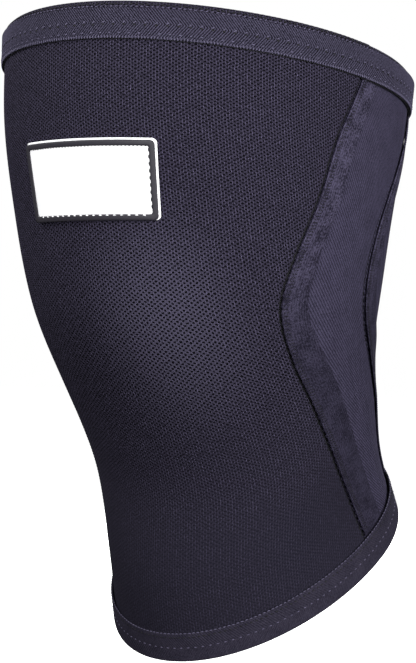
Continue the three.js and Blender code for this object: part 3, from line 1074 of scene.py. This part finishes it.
# Overlock thread packed into each seam, between the panels' rounded edges
cord = {
    "grid": (4, 120),
    "halfWidth": 1.6 * mm,
    "sunk": 0.6 * mm,  # under the lower panels' outer face
    "insideSunk": 1.0 * mm,
    "end": 0.012,  # share of the way up that is left free at each rim
}


def seamCord(name, seam, side):
    columns, rows = cord["grid"]
    bm = flatCloth(columns, rows)

    def place(flat):
        x, y, face = flat.T
        level = cord["end"] + (1 - 2 * cord["end"]) * y / rows
        offset = (x / columns * 2 - 1) * cord["halfWidth"]
        turn = np.array([turnTo(side * (arcTo(seam(at), at) + step), at) for at, step in zip(level, offset)])
        out = np.where(face > 0.5, -leg["panelStep"] - cord["sunk"], -leg["wall"] + cord["insideSunk"])
        return offSkin(turn, level, out), np.stack([offset, y * leg["sleeveLength"] / rows], -1) / mm

    piece = wrapped(name, bm, place, [materials["threadDark"], materials["threadLight"]])


for end, word, seam, side in seamSides:
    seamCord(f"{end}_seam_{word}_overlock", seam, side)

# Camera at the photo's angle, fitted to the sleeve's outline, seam and hems
camera = {
    "azimuth": math.radians(37),
    "elevation": math.radians(0.75),
    "distance": 957 * mm,
    "target": Vector((0, 0, 1.02 * mm)),
    "lens": 130.7,
    "sensor": 36,  # mm on the long side
    "shift": 0.00427,
}
eye = bpy.data.cameras.new("camera")
eye.lens, eye.sensor_width, eye.shift_x = camera["lens"], camera["sensor"], camera["shift"]
back = Vector((
    math.sin(camera["azimuth"]) * math.cos(camera["elevation"]),
    -math.cos(camera["azimuth"]) * math.cos(camera["elevation"]),
    math.sin(camera["elevation"]),
))
eyeObject = bpy.data.objects.new("camera", eye)
eyeObject.location = camera["target"] + back * camera["distance"]
eyeObject.rotation_mode = "QUATERNION"
eyeObject.rotation_quaternion = (-back).to_track_quat("-Z", "Y")
bpy.context.scene.collection.objects.link(eyeObject)
bpy.context.scene.camera = eyeObject

# Soft studio light: a white surround over a darker below, small near lamps on the left and in front,
# and broad ones low on the right and behind
studio = {"floorDrop": 40 * mm, "floorGlow": 0.85, "surround": 0.24, "below": 0.04}
lamps = [
    {"name": "left_light", "place": (-0.3, -0.3, 0.36), "size": 0.3, "watts": 1.7},
    {"name": "front_light", "place": (0.14, -0.45, 0.1), "size": 0.3, "watts": 1.6},
    {"name": "right_light", "place": (0.97, -0.3, 0.12), "size": 0.6, "watts": 14},
    {"name": "back_light", "place": (-0.5, 0.85, 0.35), "size": 0.6, "watts": 12},
]
bpy.context.scene.view_settings.view_transform = "Standard"
world = bpy.data.worlds.new("studio")
bpy.context.scene.world = world
world.use_nodes = True
tree = world.node_tree
tree.nodes.clear()
direction = addNode(tree, "TexCoord").outputs["Generated"]
up = addNode(tree, "SeparateXYZ", [direction]).outputs["Z"]
glow = addNode(tree, "MapRange", [up, -0.5, 0.5, studio["below"], studio["surround"]])
seen = addNode(tree, "LightPath").outputs["Is Camera Ray"]
strength = addNode(tree, "Mix", {"Factor": seen, "A": glow, "B": 1.0}, data_type="FLOAT")
background = addNode(tree, "Background", {"Color": (1, 1, 1, 1), "Strength": strength})
addNode(tree, "OutputWorld", [background])

for lamp in lamps:
    light = bpy.data.lights.new(lamp["name"], "AREA")
    light.shape = "RECTANGLE"
    light.size = light.size_y = lamp["size"]
    light.energy = lamp["watts"]
    holder = bpy.data.objects.new(lamp["name"], light)
    holder.location = lamp["place"]
    holder.visible_camera = False
    holder.rotation_mode = "QUATERNION"
    holder.rotation_quaternion = (-Vector(lamp["place"])).to_track_quat("-Z", "Y")
    bpy.context.scene.collection.objects.link(holder)

# A matt white floor that glows enough to fade into the surround
bm = bmesh.new()
bmesh.ops.create_grid(bm, x_segments=1, y_segments=1, size=3)
bmesh.ops.translate(bm, verts=bm.verts[:], vec=(0, 0, cadBox[0].z - studio["floorDrop"]))
floorMesh = bpy.data.meshes.new("floor")
bm.to_mesh(floorMesh)
bm.free()
floorLook, floorTree, floorShader = newMaterial("matt_white_floor")
setInputs(floorTree, floorShader, {
    "Base Color": linear("#f4f4f4"),
    "Roughness": 0.9,
    "Emission Color": (1, 1, 1, 1),
    "Emission Strength": studio["floorGlow"],
})
floorMesh.materials.append(floorLook)
floor = bpy.data.objects.new("floor", floorMesh)
bpy.context.scene.collection.objects.link(floor)
floor.visible_diffuse = False
floor.visible_glossy = False
print("camera and lights set")
